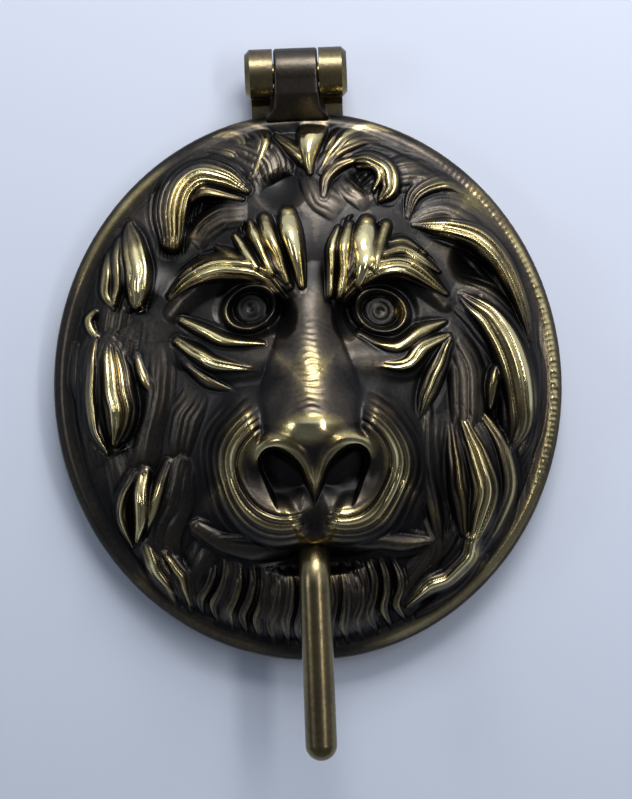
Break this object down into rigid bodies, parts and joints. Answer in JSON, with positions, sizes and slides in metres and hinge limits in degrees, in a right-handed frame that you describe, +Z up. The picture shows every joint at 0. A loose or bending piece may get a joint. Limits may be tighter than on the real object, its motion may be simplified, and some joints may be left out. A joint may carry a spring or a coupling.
{
  "type": "door knocker",
  "caption": "Oval lion mask door knocker, hinged at the top on a back plate, with a round rod hanging from the mouth to lift it and a stud behind that strikes the plate.",
  "frame": {"origin": "centre of the oval back plate on its rear face, which lies against the door", "axes": "+Z up the door, +X to the right for a person facing the door, -Y out of the door towards that person"},
  "size_m": [0.127, 0.0415, 0.1737],
  "materials": {
    "patina_brass": "dark patina in the hollows, worn bright on the high edges",
    "plate_brass": "dull old brass, bright on the worn rim and knuckles",
    "polished_brass": "polished by handling",
    "fastener_brass": "turned, dull"
  },
  "bodies": {
    "door_plate": {"backplate": "plate_brass", "hinge_pin": "fastener_brass", "strike_button": "fastener_brass"},
    "mask": {"lion_mask": "patina_brass", "tongue_pull": "polished_brass", "tongue_washer": "fastener_brass", "tongue_nut": "fastener_brass", "hammer_stud": "fastener_brass"}
  },
  "joints": [
    {"name": "mask_hinge", "type": "hinge", "parent": "door_plate", "child": "mask", "pos_m": [0, -0.008, 0.0775], "axis": [-1, 0, 0], "range_deg": [0, 100]}
  ]
}
